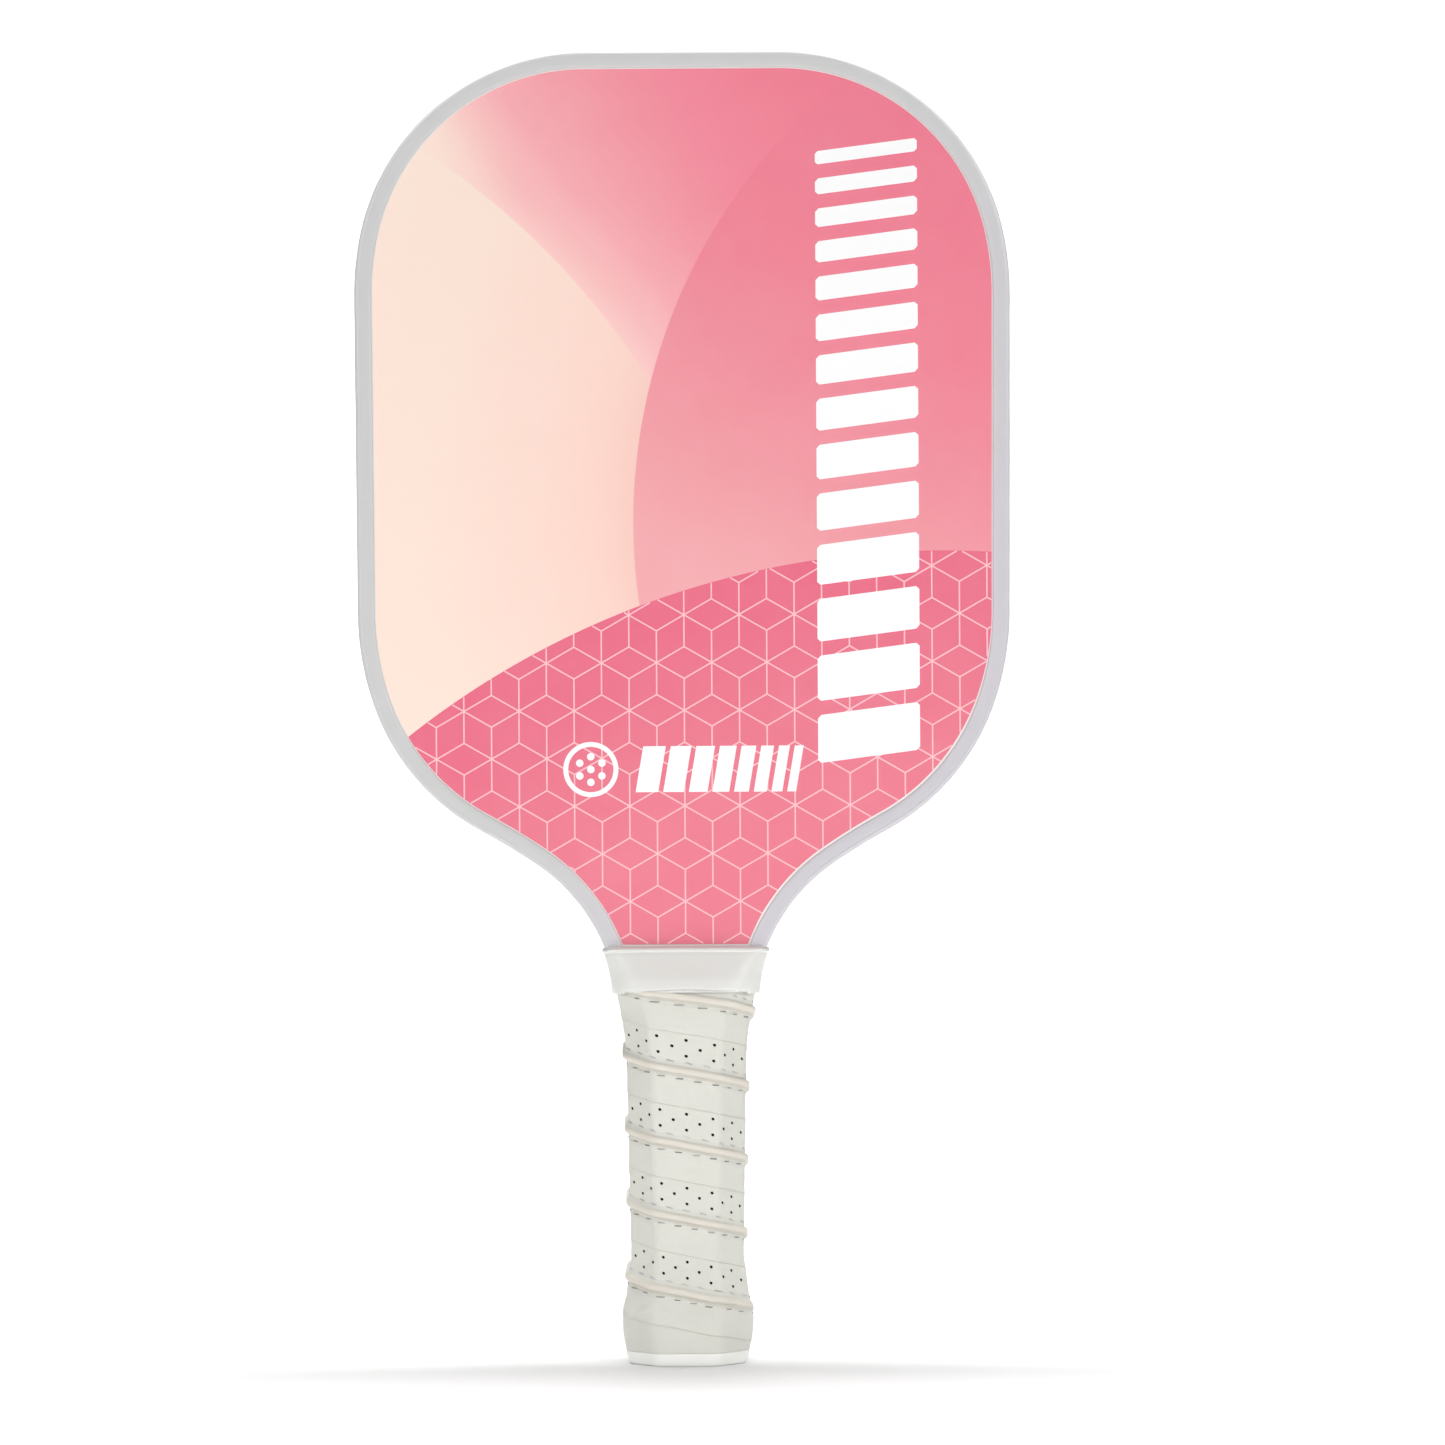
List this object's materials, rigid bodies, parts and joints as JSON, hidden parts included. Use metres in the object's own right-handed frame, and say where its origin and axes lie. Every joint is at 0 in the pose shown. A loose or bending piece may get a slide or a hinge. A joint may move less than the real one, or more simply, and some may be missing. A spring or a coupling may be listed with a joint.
{
  "type": "pickleball paddle",
  "caption": "Solid-faced pickleball paddle: honeycomb sandwich blade in a channel edge guard, flared throat collar, and an octagonal handle wound with ribbed, stitched tape.",
  "frame": {"origin": "centre of the butt cap's flat end", "axes": "+Z from the butt to the tip, -Y is the front hitting face's outward normal, X across the blade"},
  "size_m": [0.2, 0.0376, 0.4],
  "materials": {
    "core_polypropylene": "translucent matte",
    "bond_film": "cured adhesive",
    "face_composite": "painted glass-fibre laminate",
    "print_film": "matt printed film",
    "guard_plastic": "satin moulded",
    "pallet_foam": "rigid foam",
    "cap_plastic": "satin moulded",
    "staple_steel": "galvanised",
    "tape_adhesive": "tacky",
    "grip_foam": "foamed backing",
    "grip_polyurethane": "soft matt polyurethane",
    "rib_cord": "soft foam cord",
    "stitch_thread": "twisted polyester",
    "finishing_vinyl": "smooth vinyl",
    "collar_rubber": "soft matt silicone"
  },
  "bodies": {
    "root": {"honeycomb_core": "core_polypropylene", "front_bond_film": "bond_film", "back_bond_film": "bond_film", "front_face_sheet": "face_composite", "back_face_sheet": "face_composite", "front_print_film": "print_film", "back_print_film": "print_film", "edge_guard": "guard_plastic", "edge_bond_strip": "bond_film", "front_handle_pallet": "pallet_foam", "back_handle_pallet": "pallet_foam", "front_pallet_glue": "bond_film", "back_pallet_glue": "bond_film", "butt_cap": "cap_plastic", "cap_staples": "staple_steel", "grip_adhesive": "tape_adhesive", "grip_cushion": "grip_foam", "grip_skin": "grip_polyurethane", "grip_rib_cord": "rib_cord", "grip_stitching": "stitch_thread", "finishing_tape": "finishing_vinyl", "throat_collar": "collar_rubber"}
  },
  "joints": []
}
